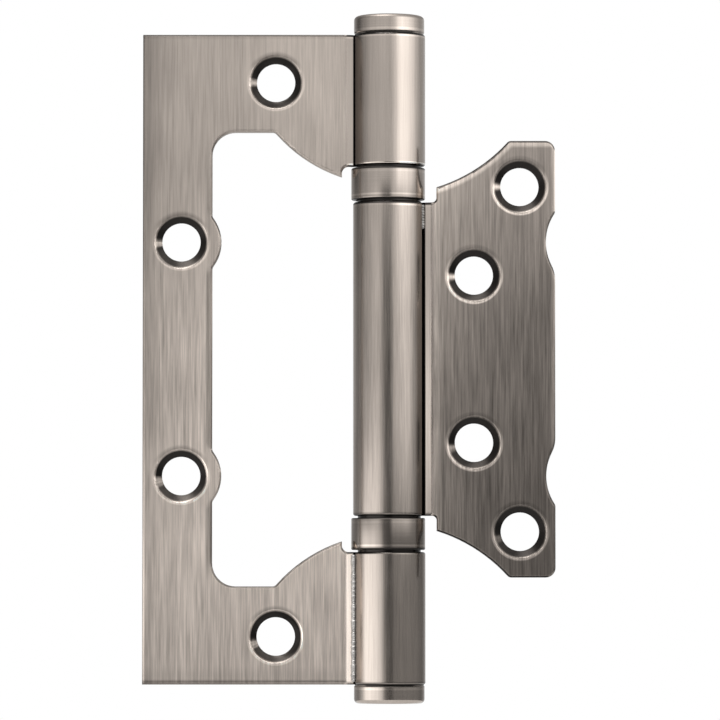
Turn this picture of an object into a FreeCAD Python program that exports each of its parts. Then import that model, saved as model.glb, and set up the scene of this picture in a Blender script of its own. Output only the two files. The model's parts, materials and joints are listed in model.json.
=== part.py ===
import FreeCAD, Part
import math
import os

# Flush door hinge with two thrust ball bearings, shown opened flat.
# The origin is on the pin axis at mid height. +Z runs up along the pin, +X towards the small inner
# leaf and -Y towards the countersunk front. Sizes are in millimetres and angles in degrees.

# Sheet, pin and rolled barrel
sheet_thickness = 2.5
pin_radius = 4.4
knuckle_clearance = 0.04
bend_start = 8.9
edge_rounding = 0.5
knuckle_rounding = 0.45
inner_seam_angle = 26.0
outer_seam_angle = 20.0

# Inner leaf, which swings into the window of the outer leaf
inner_knuckle_length = 60.3
inner_leaf_reach = 31.9
inner_leaf_height = 84.0
inner_corner_radius = 1.9
top_blend = 1.0
inner_relief_radius = 0.9
notch_outer_blend = 1.0
notch_inner_blend = 6.0
step_setback = 0.2

# Outer leaf and its window
outer_leaf_height = 125.0
outer_strip_width = 13.35
window_side_gap = 2.15
window_end_gap = 1.7
window_corner_radius = 4.5
tab_radius = 28.95
tab_overhang = 2.05
tab_gap = 1.9
outer_relief_radius = 1.3
ear_height = 1.75
ear_blend = 1.0

# Countersunk screw holes
screw_hole_radius = 3.7
countersink_radius = 5.15
countersink_angle = 90.0
countersink_rim_rounding = 0.3
side_hole_from_window = 5.95
side_hole_spacing = 45.0
end_hole_from_end = 9.2
end_hole_from_axis = 21.8
far_hole_from_edge = 6.8
far_hole_from_end = 8.8
near_hole_from_axis = 16.3
near_hole_spacing = 32.2

# Weld tack that closes the seam of the inner leaf at its upper end
tack_length = 4.8
tack_recess = 0.35
tack_bite = 15.0

# How far a cutting shape runs past what it cuts, and how flat an edge lies in its plane
cutter_margin = 1.0
flat_tolerance = 0.001

# Ball bearings
ball_diameter = 2.0
ball_side_clearance = 0.08
ball_groove_clearance = 0.03
ball_spacing_clearance = 0.03
groove_depth = 0.45
race_bore_clearance = 0.05
race_flange_thickness = 2.0
outer_neck_length = 0.4
inner_neck_length = 0.45
shell_wall = 0.4
shell_play = 0.22
shell_rest_gap = 0.02
shell_lip_thickness = 0.45
shell_lip_clearance = 0.05
shell_lip_grip = 0.2
shell_rounding = 0.5

# Caps and pin, whose ends share one chamfer
cap_radius = 6.77
cap_flange_height = 3.05
cap_rounding = 0.6
cap_neck_radius = 5.9
cap_neck_height = 0.55
cap_spigot_length = 7.0
cap_spigot_clearance = 0.01
pin_end_gap = 0.5
end_chamfer = 0.6
knurl_length = 12.0
knurl_teeth = 36
knurl_depth = 0.15
knurl_clearance = 0.01

# Worked out from the sizes above: section through the barrel
half_sheet = sheet_thickness / 2
bore_radius = pin_radius + knuckle_clearance
barrel_radius = bore_radius + sheet_thickness
roll_radius = bore_radius + half_sheet
bend_radius = (bend_start ** 2 - roll_radius ** 2) / (2 * roll_radius)
bend_meets_roll = math.degrees(math.atan2(bend_radius, bend_start))
step_x = bend_start + step_setback

# Bearing stack, measured from the end of the middle knuckle towards the outer knuckle
ball_radius = ball_diameter / 2
ball_circle_radius = pin_radius + ball_side_clearance + ball_radius
groove_radius = ball_radius + ball_groove_clearance
race_radius = ball_circle_radius + ball_radius
race_bore_radius = pin_radius + race_bore_clearance
shell_inner_radius = race_radius + shell_play
shell_radius = shell_inner_radius + shell_wall
shell_lip_radius = race_radius - shell_lip_grip
shell_shift = shell_play - shell_rest_gap
race_neck_radius = shell_lip_radius - shell_play
race_gap = 2 * (groove_radius - groove_depth)
shell_start = inner_neck_length
turning_flange_start = shell_start + shell_lip_thickness + shell_lip_clearance
turning_flange_end = turning_flange_start + race_flange_thickness
ball_height = turning_flange_end + race_gap / 2
fixed_flange_start = turning_flange_end + race_gap
fixed_flange_end = fixed_flange_start + race_flange_thickness
shell_end = fixed_flange_end + shell_lip_thickness
bearing_height = shell_end + outer_neck_length
ball_pitch_half_chord = ball_radius + ball_spacing_clearance / 2
ball_count = int(math.pi / math.asin(ball_pitch_half_chord / ball_circle_radius))

# Heights and outlines of the leaves
inner_knuckle_end = inner_knuckle_length / 2
outer_knuckle_start = inner_knuckle_end + bearing_height
outer_leaf_end = outer_leaf_height / 2
inner_leaf_end = inner_leaf_height / 2
window_side = inner_leaf_reach + window_side_gap
window_end = inner_leaf_end + window_end_gap
outer_leaf_reach = window_side + outer_strip_width
tab_tip = outer_knuckle_start - tab_overhang
arc_centre_z = tab_tip + math.sqrt(tab_radius ** 2 - step_x ** 2)
inner_arc_radius = tab_radius + tab_gap
side_hole_x = window_side + side_hole_from_window
side_hole_z = side_hole_spacing / 2
ear_radius = side_hole_from_window + ear_height
notch_radius = ear_radius + window_side_gap
cap_top = outer_leaf_end + cap_neck_height + cap_flange_height
pin_end = outer_leaf_end - cap_spigot_length - pin_end_gap

QUARTER_TURN = 90
HALF_TURN = 180
FULL_TURN = 360
ORIGIN = FreeCAD.Vector(0, 0, 0)
X_AXIS = FreeCAD.Vector(1, 0, 0)
Z_AXIS = FreeCAD.Vector(0, 0, 1)


def point(x, z):
    """A point of an outline, in the plane through the pin axis."""
    return FreeCAD.Vector(x, 0, z)


def polar(radius, degrees, centre=(0.0, 0.0)):
    """The two coordinates of a point on a circle."""
    turn = math.radians(degrees)
    return (centre[0] + radius * math.cos(turn), centre[1] + radius * math.sin(turn))


def drawn_face(start, steps):
    """A flat face in the XZ plane. A step of one point is a line, of two points an arc and its end."""
    edges = []
    here = start
    for step in steps + [(start,)]:
        end = step[-1]
        if len(step) == 1:
            edges.append(Part.LineSegment(point(*here), point(*end)).toShape())
        else:
            edges.append(Part.Arc(point(*here), point(*step[0]), point(*end)).toShape())
        here = end
    return Part.Face(Part.Wire(edges))


def turned(start, steps):
    """A solid turned about the pin axis from the half section."""
    return drawn_face(start, steps).revolve(ORIGIN, Z_AXIS, FULL_TURN)


def lifted(solid, height):
    return solid.translated(FreeCAD.Vector(0, 0, height))


def circle_point(centre, radius, side, x=None, z=None):
    """The point of a circle at a given x or z, on the chosen side of its centre."""
    if x is None:
        return (centre[0] + side * math.sqrt(radius ** 2 - (z - centre[1]) ** 2), z)
    return (x, centre[1] + side * math.sqrt(radius ** 2 - (x - centre[0]) ** 2))


def arc_middle(centre, radius, first, last):
    """The point of an arc half way between its two ends."""
    along_x = (first[0] + last[0]) / 2 - centre[0]
    along_z = (first[1] + last[1]) / 2 - centre[1]
    scale = radius / math.hypot(along_x, along_z)
    return (centre[0] + along_x * scale, centre[1] + along_z * scale)


def blend(centre, radius, rounding, side, edge_x=None, edge_z=None):
    """The arc that joins a straight edge to a circle and touches the circle from outside.

    Returns the arc's end on the edge, its middle and its end on the circle."""
    if edge_z is None:
        blend_centre = circle_point(centre, radius + rounding, side, x=edge_x - rounding)
        on_edge = (edge_x, blend_centre[1])
    else:
        blend_centre = circle_point(centre, radius + rounding, side, z=edge_z - rounding)
        on_edge = (blend_centre[0], edge_z)
    share = radius / (radius + rounding)
    on_circle = tuple(c + share * (b - c) for c, b in zip(centre, blend_centre))
    return on_edge, arc_middle(blend_centre, rounding, on_edge, on_circle), on_circle


def nested_outline(edge_x, end_z, corner_radius, side_radius, low_blend, high_blend,
                   arc_radius, knuckle_end, relief_radius, step_side):
    """The outline that the inner leaf and the window it swings into share, above mid height.

    It runs up the far edge past the arc about the side hole, round the corner, along the end, down
    the arc beside the knuckle and in along the end of the knuckle."""
    hole = (side_hole_x, side_hole_z)
    low_edge, low_middle, low_circle = blend(hole, side_radius, low_blend, -1, edge_x=edge_x)
    high_edge, high_middle, high_circle = blend(hole, side_radius, high_blend, 1, edge_x=edge_x)
    corner_centre = (edge_x - corner_radius, end_z - corner_radius)
    corner_start = (edge_x, end_z - corner_radius)
    corner_end = (edge_x - corner_radius, end_z)
    arc_centre = (0, arc_centre_z)
    top_edge, top_middle, arc_start = blend(arc_centre, arc_radius, top_blend, 1, edge_z=end_z)
    arc_end = circle_point(arc_centre, arc_radius, -1, x=step_x)
    relief_centre = (step_x - relief_radius, knuckle_end + step_side * relief_radius)
    relief_start = (step_x, knuckle_end + step_side * relief_radius)
    relief_end = (step_x - relief_radius, knuckle_end)
    past_barrel = -(barrel_radius + cutter_margin)
    return (edge_x, 0), [
        (low_edge,),
        (low_middle, low_circle),
        ((side_hole_x - side_radius, side_hole_z), high_circle),
        (high_middle, high_edge),
        (corner_start,),
        (arc_middle(corner_centre, corner_radius, corner_start, corner_end), corner_end),
        (top_edge,),
        (top_middle, arc_start),
        (arc_middle(arc_centre, arc_radius, arc_start, arc_end), arc_end),
        (relief_start,),
        (arc_middle(relief_centre, relief_radius, relief_start, relief_end), relief_end),
        ((past_barrel, knuckle_end),),
        ((past_barrel, 0),),
    ]


def symmetric_prism(start, steps):
    """A prism right through the sheet, drawn above mid height and mirrored below it."""
    depth = 2 * (barrel_radius + cutter_margin)
    face = drawn_face(start, steps).translated(FreeCAD.Vector(0, -depth / 2, 0))
    upper = face.extrude(FreeCAD.Vector(0, depth, 0))
    return upper.fuse(upper.mirror(ORIGIN, Z_AXIS)).removeSplitter()


def rolled_sheet(reach, seam_angle, height):
    """The flat sheet with its rolled barrel, before its outline is cut, on the +X side."""
    centre = (bend_start, bend_radius)
    bend_middle = (bend_meets_roll - HALF_TURN - QUARTER_TURN) / 2
    section = drawn_face((reach, -half_sheet), [
        ((bend_start, -half_sheet),),
        (polar(bend_radius + half_sheet, bend_middle, centre), polar(bore_radius, bend_meets_roll)),
        (polar(bore_radius, HALF_TURN), polar(bore_radius, -seam_angle)),
        (polar(barrel_radius, -seam_angle),),
        (polar(barrel_radius, HALF_TURN), polar(barrel_radius, bend_meets_roll)),
        (polar(bend_radius - half_sheet, bend_middle, centre), (bend_start, half_sheet)),
        ((reach, half_sheet),),
    ])
    section.rotate(ORIGIN, X_AXIS, -QUARTER_TURN)
    section.translate(FreeCAD.Vector(0, 0, -height / 2))
    return section.extrude(FreeCAD.Vector(0, 0, height))


def is_front_rim(edge):
    """Whether an edge bounds the flat front of the sheet, apart from the line where the bend starts."""
    box = edge.BoundBox
    flat = box.YMax - box.YMin < flat_tolerance and abs(box.YMin + half_sheet) < flat_tolerance
    return flat and box.XMax > step_x - step_setback / 2


def is_knuckle_rim(edge):
    """Whether an edge runs round the outside of a knuckle, at one of its ends."""
    if edge.Curve.TypeId != "Part::GeomCircle":
        return False
    return abs(edge.Curve.Radius - barrel_radius) < flat_tolerance


def rounded(leaf):
    """The leaf with the ends of its knuckles and its front rims rounded, as tumbling leaves them."""
    leaf = leaf.makeFillet(knuckle_rounding, [edge for edge in leaf.Edges if is_knuckle_rim(edge)])
    return leaf.makeFillet(edge_rounding, [edge for edge in leaf.Edges if is_front_rim(edge)])


def screw_hole(x, z):
    """The cutting shape of one countersunk hole, open towards the front."""
    half_angle = math.radians(countersink_angle / 2)
    depth = (countersink_radius - screw_hole_radius) / math.tan(half_angle)
    rim_corner = QUARTER_TURN + countersink_angle / 2
    rim = countersink_rim_rounding / math.tan(math.radians(rim_corner / 2))
    rim_centre = (countersink_radius + rim, -countersink_rim_rounding)
    cone_end = polar(rim, -rim_corner, (countersink_radius, 0))
    rim_end = (countersink_radius + rim, 0)
    cutter = turned((0, -sheet_thickness - cutter_margin), [
        ((screw_hole_radius, -sheet_thickness - cutter_margin),),
        ((screw_hole_radius, -depth),),
        (cone_end,),
        (arc_middle(rim_centre, countersink_rim_rounding, cone_end, rim_end), rim_end),
        ((countersink_radius + rim, cutter_margin),),
        ((0, cutter_margin),),
    ])
    cutter.rotate(ORIGIN, X_AXIS, QUARTER_TURN)
    return cutter.translated(FreeCAD.Vector(x, -half_sheet, z))


def drilled(leaf, holes):
    """The leaf with each hole cut above and below mid height."""
    return leaf.cut([screw_hole(x, side * z) for x, z in holes for side in (1, -1)])


def make_outer_leaf():
    start, steps = nested_outline(
        edge_x=window_side, end_z=window_end, corner_radius=window_corner_radius,
        side_radius=ear_radius, low_blend=ear_blend, high_blend=ear_blend, arc_radius=tab_radius,
        knuckle_end=outer_knuckle_start, relief_radius=outer_relief_radius, step_side=-1)
    sheet = rolled_sheet(outer_leaf_reach, outer_seam_angle, outer_leaf_height)
    leaf = rounded(sheet.cut(symmetric_prism(start, steps)))
    leaf = drilled(leaf, [(end_hole_from_axis, outer_leaf_end - end_hole_from_end),
                          (side_hole_x, side_hole_z)])
    return leaf.mirror(ORIGIN, X_AXIS)


def make_inner_leaf():
    start, steps = nested_outline(
        edge_x=inner_leaf_reach, end_z=inner_leaf_end, corner_radius=inner_corner_radius,
        side_radius=notch_radius, low_blend=notch_inner_blend, high_blend=notch_outer_blend,
        arc_radius=inner_arc_radius, knuckle_end=inner_knuckle_end,
        relief_radius=inner_relief_radius, step_side=1)
    sheet = rolled_sheet(inner_leaf_reach + cutter_margin, inner_seam_angle,
                         inner_leaf_height + 2 * cutter_margin)
    leaf = rounded(sheet.common(symmetric_prism(start, steps)))
    return drilled(leaf.fuse(seam_tack()), [
        (inner_leaf_reach - far_hole_from_edge, inner_leaf_end - far_hole_from_end),
        (near_hole_from_axis, near_hole_spacing / 2)])


def seam_tack():
    """The weld between the rolled end of the sheet and its bend, at the top of the middle knuckle."""
    inside = bore_radius + tack_recess
    outside = barrel_radius - tack_recess
    low = inner_knuckle_end - tack_length
    high = inner_knuckle_end - knuckle_rounding
    face = drawn_face((inside, low), [((outside, low),), ((outside, high),), ((inside, high),)])
    face.rotate(ORIGIN, Z_AXIS, -(inner_seam_angle + tack_bite))
    return face.revolve(ORIGIN, Z_AXIS, inner_seam_angle + 2 * tack_bite)


def make_pin():
    """A plain rod with a band of straight teeth that grips the top knuckle."""
    rod = turned((0, -pin_end), [
        ((pin_radius - end_chamfer, -pin_end),),
        ((pin_radius, -pin_end + end_chamfer),),
        ((pin_radius, pin_end - knurl_length),),
        ((pin_radius - knurl_depth, pin_end - knurl_length + knurl_depth),),
        ((pin_radius - knurl_depth, pin_end - end_chamfer),),
        ((pin_radius - knurl_depth - end_chamfer, pin_end),),
        ((0, pin_end),),
    ])
    crest = bore_radius - knurl_clearance
    root = pin_radius - knurl_depth
    half_tooth = HALF_TURN / knurl_teeth
    corners = []
    for number in range(knurl_teeth):
        corners.append(FreeCAD.Vector(*polar(crest, 2 * number * half_tooth), 0))
        corners.append(FreeCAD.Vector(*polar(root, (2 * number + 1) * half_tooth), 0))
    star = Part.Face(Part.makePolygon(corners + corners[:1]))
    band_length = knurl_length - knurl_depth - 2 * end_chamfer
    band = star.extrude(FreeCAD.Vector(0, 0, band_length))
    return rod.fuse(lifted(band, pin_end - end_chamfer - band_length))


def make_cap():
    """The top cap: a spigot in the bore, a short neck and a round flange with a soft rim."""
    spigot_radius = bore_radius - cap_spigot_clearance
    low = outer_leaf_end - cap_spigot_length
    flange_low = outer_leaf_end + cap_neck_height
    rim_centre = (cap_radius - cap_rounding, cap_top - cap_rounding)
    rim_start = (cap_radius, cap_top - cap_rounding)
    rim_end = (cap_radius - cap_rounding, cap_top)
    return turned((0, low), [
        ((spigot_radius - end_chamfer, low),),
        ((spigot_radius, low + end_chamfer),),
        ((spigot_radius, outer_leaf_end),),
        ((cap_neck_radius, outer_leaf_end),),
        ((cap_neck_radius, flange_low),),
        ((cap_radius, flange_low),),
        (rim_start,),
        (arc_middle(rim_centre, cap_rounding, rim_start, rim_end), rim_end),
        ((0, cap_top),),
    ])


def make_shell():
    """The ring round a bearing, with a lip at each end that keeps the races together."""
    low_start = (shell_radius - shell_rounding, shell_start)
    low_end = (shell_radius, shell_start + shell_rounding)
    low_centre = (shell_radius - shell_rounding, shell_start + shell_rounding)
    high_start = (shell_radius, shell_end - shell_rounding)
    high_end = (shell_radius - shell_rounding, shell_end)
    high_centre = (shell_radius - shell_rounding, shell_end - shell_rounding)
    ring = turned((shell_lip_radius, shell_start), [
        (low_start,),
        (arc_middle(low_centre, shell_rounding, low_start, low_end), low_end),
        (high_start,),
        (arc_middle(high_centre, shell_rounding, high_start, high_end), high_end),
        ((shell_lip_radius, shell_end),),
        ((shell_lip_radius, shell_end - shell_lip_thickness),),
        ((shell_inner_radius, shell_end - shell_lip_thickness),),
        ((shell_inner_radius, shell_start + shell_lip_thickness),),
        ((shell_lip_radius, shell_start + shell_lip_thickness),),
    ])
    return ring.translated(FreeCAD.Vector(-shell_shift, 0, 0))


def make_race(neck_end, neck_face, flange_face):
    """A washer with a neck that leaves the shell and a ball groove in its flange."""
    washer = turned((race_bore_radius, neck_end), [
        ((race_neck_radius, neck_end),),
        ((race_neck_radius, neck_face),),
        ((race_radius, neck_face),),
        ((race_radius, flange_face),),
        ((race_bore_radius, flange_face),),
    ])
    centre = FreeCAD.Vector(0, 0, ball_height)
    return washer.cut(Part.makeTorus(ball_circle_radius, groove_radius, centre, Z_AXIS))


def make_ball(number):
    x, y = polar(ball_circle_radius, number * FULL_TURN / ball_count)
    return Part.makeSphere(ball_radius, FreeCAD.Vector(x, y, ball_height))


def make_bearing():
    """The pieces of one bearing, standing on the end of the middle knuckle."""
    pieces = {
        "bearing_shell": make_shell(),
        "bearing_turning_race": make_race(0, turning_flange_start, turning_flange_end),
        "bearing_fixed_race": make_race(bearing_height, fixed_flange_end, fixed_flange_start),
    }
    for number in range(ball_count):
        pieces[f"ball_{number + 1:02d}"] = make_ball(number)
    return pieces


def make_hinge():
    cap = make_cap()
    pieces = {
        "outer_leaf": make_outer_leaf(),
        "inner_leaf": make_inner_leaf(),
        "hinge_pin": make_pin(),
        "top_cap": cap,
        "bottom_cap": cap.mirror(ORIGIN, Z_AXIS),
    }
    for name, piece in make_bearing().items():
        placed = lifted(piece, inner_knuckle_end)
        pieces[f"upper_{name}"] = placed
        pieces[f"lower_{name}"] = placed.mirror(ORIGIN, Z_AXIS)
    return pieces


os.makedirs("parts", exist_ok=True)
for node, solid in make_hinge().items():
    solid.exportStep(f"parts/{node}.step")
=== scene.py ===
import json
import math

import bmesh
import bpy
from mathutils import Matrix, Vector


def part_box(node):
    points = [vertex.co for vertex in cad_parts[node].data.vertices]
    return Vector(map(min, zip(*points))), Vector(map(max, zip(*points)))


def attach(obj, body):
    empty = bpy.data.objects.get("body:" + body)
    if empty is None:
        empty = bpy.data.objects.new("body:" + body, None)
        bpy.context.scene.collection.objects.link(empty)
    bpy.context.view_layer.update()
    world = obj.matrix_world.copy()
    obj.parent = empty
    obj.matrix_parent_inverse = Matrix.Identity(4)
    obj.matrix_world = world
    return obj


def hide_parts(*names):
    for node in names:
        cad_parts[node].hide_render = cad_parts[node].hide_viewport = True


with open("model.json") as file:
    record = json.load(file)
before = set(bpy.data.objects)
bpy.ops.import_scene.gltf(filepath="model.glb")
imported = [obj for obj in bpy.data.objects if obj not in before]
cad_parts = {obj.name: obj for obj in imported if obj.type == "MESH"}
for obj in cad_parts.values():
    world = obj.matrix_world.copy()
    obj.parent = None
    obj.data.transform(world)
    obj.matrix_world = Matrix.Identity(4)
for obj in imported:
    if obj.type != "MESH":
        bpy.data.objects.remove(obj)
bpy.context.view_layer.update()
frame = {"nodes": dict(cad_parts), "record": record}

bl_info = {
    "name": "Flush ball bearing hinge",
    "version": (1, 0, 0),
    "blender": (4, 5, 0),
    "location": "View3D > Sidebar > Hinge",
    "description": "Finishes a flush door hinge in brushed antique nickel and sets it in a plain studio",
    "category": "Object",
}

# Named sizes and patterns are in millimetres, and properties and meshes are in metres. All lie in the
# hinge's own frame: its origin is on the pin at mid height, the pin runs along Z, the small leaf lies
# towards +X and the countersunk fronts look along -Y.
MILLIMETRE = 0.001
NODES = frame["nodes"]
MOUNTS = {mount["name"]: mount for mount in frame["record"]["mounts"]}
BODY_OF = {
    node: body for body, nodes in frame["record"]["behaviour"]["bodies"].items() for node in nodes
}
SIDES = ("upper", "lower")


def box_mm(node):
    """The lowest and highest corners of a CAD node, in millimetres."""
    return [[value / MILLIMETRE for value in corner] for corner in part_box(node)]


def hole_centres(*mount_names):
    """The x and z of each pair of screw holes above mid height, in millimetres, from the mounts."""
    centres = []
    for name in mount_names:
        mount = MOUNTS[name]
        centres.append((mount["pos_m"][0] / MILLIMETRE, mount["dims"]["spacing_y_mm"] / 2))
    return centres


OUTER_LOW, OUTER_HIGH = box_mm("outer_leaf")
INNER_HIGH = box_mm("inner_leaf")[1]
BARREL_RADIUS = OUTER_HIGH[0]
HALF_SHEET = MOUNTS["outer_leaf_back"]["pos_m"][1] / MILLIMETRE
OUTER_HOLES = hole_centres("outer_end_screws", "outer_side_screws")
INNER_HOLES = hole_centres("inner_far_screws", "inner_near_screws")
MIDDLE_KNUCKLE_END = box_mm("upper_bearing_turning_race")[0][2]
OUTER_KNUCKLE_START = box_mm("upper_bearing_fixed_race")[1][2]
SHELL_LOW, SHELL_HIGH = (corner[2] for corner in box_mm("upper_bearing_shell"))

# Sizes of the solids that the frame doesn't state, in millimetres
PIN_RADIUS = 4.4
COUNTERSINK_RADIUS = 5.15
BEND_START = 8.9
STRIP_WIDTH = 13.35
WINDOW_END_GAP = 1.7

# The large leaf's round tabs above and below the small leaf: their arcs start at STEP_X from the pin and
# TAB_TIP from mid height, and the small leaf's edge follows them at TAB_GAP
STEP_X = 9.1
TAB_TIP = 35.06
TAB_RADIUS = 28.95
TAB_GAP = 1.9
ARC_CENTRE_Z = TAB_TIP + math.sqrt(TAB_RADIUS ** 2 - STEP_X ** 2)

# The two weld beads, as x and y in millimetres, and how the longer lower one differs from the upper
UPPER_BEAD = (6.33, -2.15)
LOWER_BEAD = (-6.80, -1.80)
BEAD_INSET = 0.9
LOWER_BEAD_WIDENING = 1.2
LOWER_BEAD_MORE_RIPPLES = 6
UPPER_BEAD_SEED = 5
LOWER_BEAD_SEED = 8
RIPPLE_SCALES = (0.85, 1.1)
RIPPLE_FLATNESS = 0.75
RIPPLE_SUBDIVISIONS = 3

# How meshes are finished, in metres and radians
MERGE_DISTANCE = MILLIMETRE / 1000
SHARP_ANGLE = math.radians(35)
CAP_BEVEL = 0.1 * MILLIMETRE


class Shade:
    """One output of a node tree. Python's operators on it add Math nodes."""

    def __init__(self, tree, socket):
        self.tree = tree
        self.socket = socket

    @staticmethod
    def added(tree, kind, settings=None, sockets=None, output=0):
        """Adds a node: its settings first, a ramp's stops among them, then its sockets' values or links."""
        node = tree.nodes.new(kind)
        for name, value in (settings or {}).items():
            if name == "stops":
                ramp = node.color_ramp.elements
                while len(ramp) < len(value):
                    ramp.new(1.0)
                for element, (position, colour) in zip(ramp, value):
                    element.position = position
                    element.color = colour
            elif name == "interpolation":
                node.color_ramp.interpolation = value
            else:
                setattr(node, name, value)
        for name, value in (sockets or {}).items():
            if isinstance(value, Shade):
                tree.links.new(value.socket, node.inputs[name])
            else:
                node.inputs[name].default_value = value
        return Shade(tree, node.outputs[output]) if node.outputs else None

    def node(self, kind, settings=None, sockets=None, output=0):
        """The same in this value's own tree."""
        return Shade.added(self.tree, kind, settings, sockets, output)

    def maths(self, operation, *values):
        return self.node("ShaderNodeMath", {"operation": operation}, dict(enumerate(values)))

    def __add__(self, other):
        return self.maths("ADD", self, other)

    def __radd__(self, other):
        return self.maths("ADD", other, self)

    def __sub__(self, other):
        return self.maths("SUBTRACT", self, other)

    def __rsub__(self, other):
        return self.maths("SUBTRACT", other, self)

    def __mul__(self, other):
        return self.maths("MULTIPLY", self, other)

    def __rmul__(self, other):
        return self.maths("MULTIPLY", other, self)

    def __truediv__(self, other):
        return self.maths("DIVIDE", self, other)

    def __abs__(self):
        return self.maths("ABSOLUTE", self)

    def least(self, other):
        return self.maths("MINIMUM", self, other)

    def most(self, other):
        return self.maths("MAXIMUM", self, other)

    def distance(self, other):
        """The hypotenuse of two lengths."""
        squares = self * self + other * other
        return squares.maths("SQRT", squares)

    def rise(self, low, high):
        """0 at low, 1 at high and a soft step between them. It falls where high is under low."""
        sockets = {"Value": self, "From Min": low, "From Max": high}
        return self.node("ShaderNodeMapRange", {"interpolation_type": "SMOOTHSTEP"}, sockets)

    def band(self, low, high, soft):
        """1 from low to high, with soft edges."""
        return self.rise(low - soft, low + soft) * self.rise(high + soft, high - soft)

    def through(self, levels, brightest):
        """This value put through pairs of a value and a level, as a share of the brightest level."""
        first, last = levels[0][0], levels[-1][0]
        stops = [((value - first) / (last - first), (level / brightest,) * 3 + (1.0,))
                 for value, level in levels]
        share = (self - first) / (last - first)
        return share.node("ShaderNodeValToRGB", {"stops": stops, "interpolation": "EASE"}, {0: share})

    def times_colour(self, colour):
        """A colour made lighter or darker by this value."""
        return self.node("ShaderNodeVectorMath", {"operation": "SCALE"}, {0: colour, "Scale": self})

    def mixed(self, first, second):
        """The first colour where this value is 0 and the second where it is 1."""
        return self.node("ShaderNodeMix", {"data_type": "RGBA"}, {0: self, 6: first, 7: second}, 2)


class Surface:
    """The tree of one material, with the coordinates that its patterns read."""

    def __init__(self, name):
        self.material = bpy.data.materials.new(name)
        self.material.use_nodes = True
        self.tree = self.material.node_tree
        self.tree.nodes.clear()
        metres = Shade.added(self.tree, "ShaderNodeTexCoord", output="Object")
        scaled = {0: metres, "Scale": 1 / MILLIMETRE}
        self.place = metres.node("ShaderNodeVectorMath", {"operation": "SCALE"}, scaled)
        self.x, self.y, self.z = self.parts(self.place)
        normal = Shade.added(self.tree, "ShaderNodeTexCoord", output="Normal")
        self.normal_x, self.normal_y, self.normal_z = self.parts(normal)
        self.from_axis = self.x.distance(self.y)

    def parts(self, vector):
        """The three parts of a vector."""
        return [vector.node("ShaderNodeSeparateXYZ", None, {0: vector}, part) for part in range(3)]

    def noise(self, across, along, detail, roughness, offset=0.0):
        """Cloudy noise about 0.5, with so many waves a millimetre across the pin and along it."""
        scaling = {0: self.place, 1: (across, across, along), 2: (offset, offset, offset)}
        stretched = self.place.node("ShaderNodeVectorMath", {"operation": "MULTIPLY_ADD"}, scaling)
        sockets = {"Vector": stretched, "Scale": 1.0, "Detail": detail, "Roughness": roughness}
        return stretched.node("ShaderNodeTexNoise", None, sockets)

    def finish(self, colour, roughness, height, relief, anisotropy, normal=None):
        """Ends the tree in a metal shader, with the height as fine relief of so many millimetres."""
        bump_sockets = {"Strength": 1.0, "Distance": relief * MILLIMETRE, "Height": height}
        if normal:
            bump_sockets["Normal"] = normal
        bump = height.node("ShaderNodeBump", None, bump_sockets)
        shader = bump.node("ShaderNodeBsdfPrincipled", None, {
            "Base Color": colour, "Metallic": 1.0, "Roughness": roughness,
            "Anisotropic": anisotropy, "Normal": bump})
        shader.node("ShaderNodeOutputMaterial", None, {"Surface": shader})
        return self.material


def colour_property(name, description, default):
    return bpy.props.FloatVectorProperty(
        name=name, description=description, default=default, size=3, subtype="COLOR", min=0, max=1)


def length_property(name, description, millimetres):
    return bpy.props.FloatProperty(
        name=name, description=description, default=millimetres * MILLIMETRE,
        subtype="DISTANCE", unit="LENGTH")


def share_property(name, description, default):
    return bpy.props.FloatProperty(
        name=name, description=description, default=default, min=0, max=1, subtype="FACTOR")


def number_property(name, description, default):
    return bpy.props.FloatProperty(name=name, description=description, default=default)


class HingeFinish(bpy.types.PropertyGroup):
    nickel: colour_property("Nickel", "Colour of the brushed antique nickel", (0.42, 0.370, 0.330))
    # The patina colour is also the painted shade on edges, in gaps and grooves, and in the bore
    patina_and_shade: colour_property("Patina", "Black nickel left in recesses and on edges", (0.030, 0.027, 0.025))
    bare_steel: colour_property("Bare steel", "Colour of the pin and the bearings", (0.56, 0.56, 0.57))
    weld_grey: colour_property("Weld grey", "Colour of the unbrushed weld", (0.27, 0.26, 0.25))
    outer_streaks: share_property("Large leaf streaks", "Contrast of its brush lines", 0.36)
    inner_streaks: share_property("Small leaf streaks", "Contrast of its brush lines", 0.56)
    leaf_roughness: share_property("Leaf roughness", "Roughness of the flat brushed faces", 0.36)
    barrel_roughness: share_property("Barrel roughness", "Roughness of the burnished knuckles", 0.18)
    # The glint in each countersink is a painted highlight
    glint_light: number_property("Glint light", "Lightness of the bare spot in each countersink", 0.9)
    bend_lean: number_property("Bend lean", "How far the burnished bends look away from the pin", 0.28)
    brushing: share_property("Brushing", "How far the brushed faces stretch a reflection", 0.7)


class HingeTurning(bpy.types.PropertyGroup):
    segments: bpy.props.IntProperty(
        name="Segments", description="Flats round a turned piece", default=160, min=16)
    cap_rounding: length_property("Cap rounding", "Radius of the soft rim of a cap", 0.85)
    cap_neck_inset: length_property("Cap neck inset", "Depth of the groove under a cap's flange", 0.12)
    cap_neck_height: length_property("Cap neck height", "Height of that groove", 0.30)
    shell_rounding: length_property("Shell rounding", "Radius of the rolled ends of a bearing shell", 0.28)
    shell_wall: length_property("Shell wall", "Thickness of a bearing shell", 0.4)
    shell_lip: length_property("Shell lip", "Thickness of the lips that hold the races", 0.45)
    shell_grip: length_property("Shell grip", "How far a lip reaches over a race", 0.2)
    bead_radius: length_property("Bead radius", "Size of one ripple of the upper weld", 0.5)
    bead_length: length_property("Bead length", "Length of the upper weld", 4.0)
    bead_count: bpy.props.IntProperty(
        name="Ripples", description="Ripples in the upper weld", default=9, min=2)


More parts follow.
